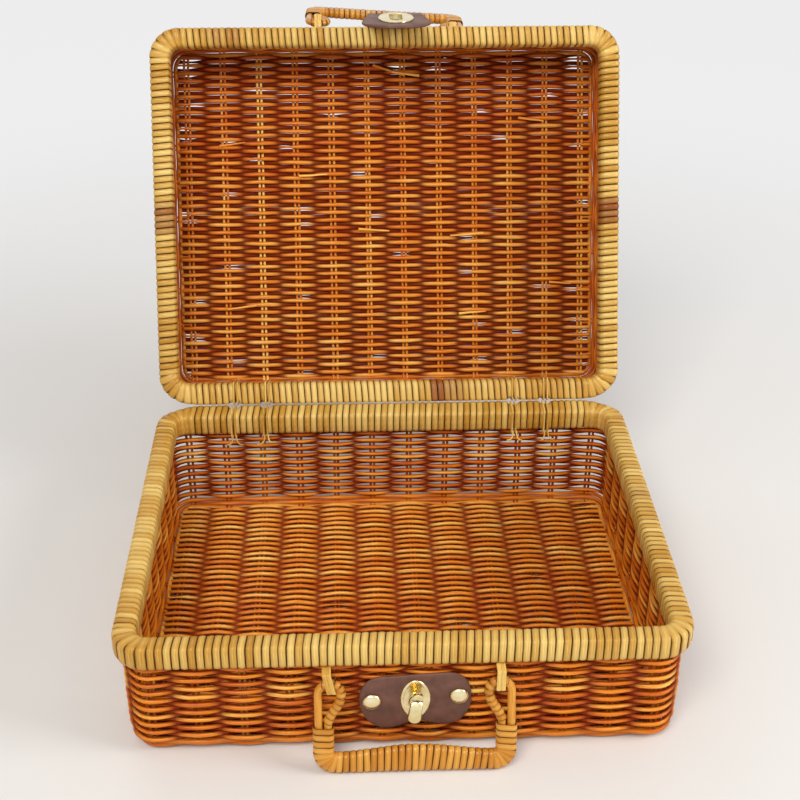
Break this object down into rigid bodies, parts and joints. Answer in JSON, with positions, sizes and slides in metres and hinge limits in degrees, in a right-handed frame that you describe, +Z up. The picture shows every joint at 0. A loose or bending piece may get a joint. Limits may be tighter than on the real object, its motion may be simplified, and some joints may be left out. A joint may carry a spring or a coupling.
{
  "type": "wicker picnic basket",
  "caption": "Wicker picnic suitcase with cane-bound rims, a hinged lid leaning back open, bound swing handles, a brass turn lock and a leather tab with a slotted eyelet.",
  "frame": {"origin": "Middle of the flat underside of the base", "axes": "X to the right seen from the front, Y from the front to the hinges at the back, Z up; the lid leans back wide open"},
  "size_m": [0.32, 0.4577, 0.3311],
  "materials": {
    "wicker": "satin",
    "straw_cane": "satin",
    "handle_cane": "satin",
    "rod_wood": "satin",
    "leather": "matte",
    "brass": "polished"
  },
  "bodies": {
    "base": {"base_weave": "wicker", "base_rim_outer_hoop": "rod_wood", "base_rim_inner_hoop": "rod_wood", "base_rim_binding": "straw_cane", "base_hinge_tie_1": "straw_cane", "base_hinge_tie_2": "straw_cane", "base_hinge_tie_3": "straw_cane", "base_hinge_tie_4": "straw_cane", "base_handle_tie_left": "straw_cane", "base_handle_tie_right": "straw_cane", "lock_patch": "leather", "patch_rivet_left": "brass", "patch_rivet_right": "brass", "patch_rivet_burr_left": "brass", "patch_rivet_burr_right": "brass", "lock_plate": "brass"},
    "base_handle": {"base_handle_rod": "rod_wood", "base_handle_binding": "handle_cane"},
    "lever": {"lock_lever": "brass"},
    "lid": {"lid_weave": "wicker", "lid_rim_outer_hoop": "rod_wood", "lid_rim_inner_hoop": "rod_wood", "lid_rim_binding": "straw_cane", "lid_hinge_tie_1": "straw_cane", "lid_hinge_tie_2": "straw_cane", "lid_hinge_tie_3": "straw_cane", "lid_hinge_tie_4": "straw_cane", "lid_handle_tie_left": "straw_cane", "lid_handle_tie_right": "straw_cane", "tab_anchor": "leather", "tab_rivet_left": "brass", "tab_rivet_right": "brass", "tab_rivet_burr_left": "brass", "tab_rivet_burr_right": "brass"},
    "lid_handle": {"lid_handle_rod": "rod_wood", "lid_handle_binding": "handle_cane"},
    "strap": {"tab_strap": "leather"},
    "flap": {"tab_flap": "leather", "eyelet_front": "brass", "eyelet_back": "brass"}
  },
  "joints": [
    {"name": "lid_hinge", "type": "hinge", "parent": "base", "child": "lid", "pos_m": [0, 0.12885, 0.08], "axis": [1, 0, 0], "range_deg": [0, 114]},
    {"name": "base_handle_swing", "type": "hinge", "parent": "base", "child": "base_handle", "pos_m": [0.005, -0.1283, 0.0535], "axis": [-1, 0, 0], "range_deg": [0, 140]},
    {"name": "lock_turn", "type": "hinge", "parent": "base", "child": "lever", "pos_m": [0.0055, -0.124, 0.0395], "axis": [0, 1, 0], "range_deg": [-7, 83]},
    {"name": "lid_handle_swing", "type": "hinge", "parent": "lid", "child": "lid_handle", "pos_m": [0, 0.25881, 0.30674], "axis": [-0.9981, 0.0247, 0.0556], "range_deg": [-102, 18]},
    {"name": "tab_lift", "type": "hinge", "parent": "lid", "child": "strap", "pos_m": [0.0055, 0.22015, 0.32193], "axis": [1, 0, 0], "range_deg": [-55, 29]},
    {"name": "tab_droop", "type": "hinge", "parent": "strap", "child": "flap", "pos_m": [0.0055, 0.21714, 0.32593], "axis": [1, 0, 0], "range_deg": [-48, 0]}
  ],
  "couplings": [
    {"joint": "tab_droop", "follows": "lid_hinge", "ratio": -0.42105}
  ]
}
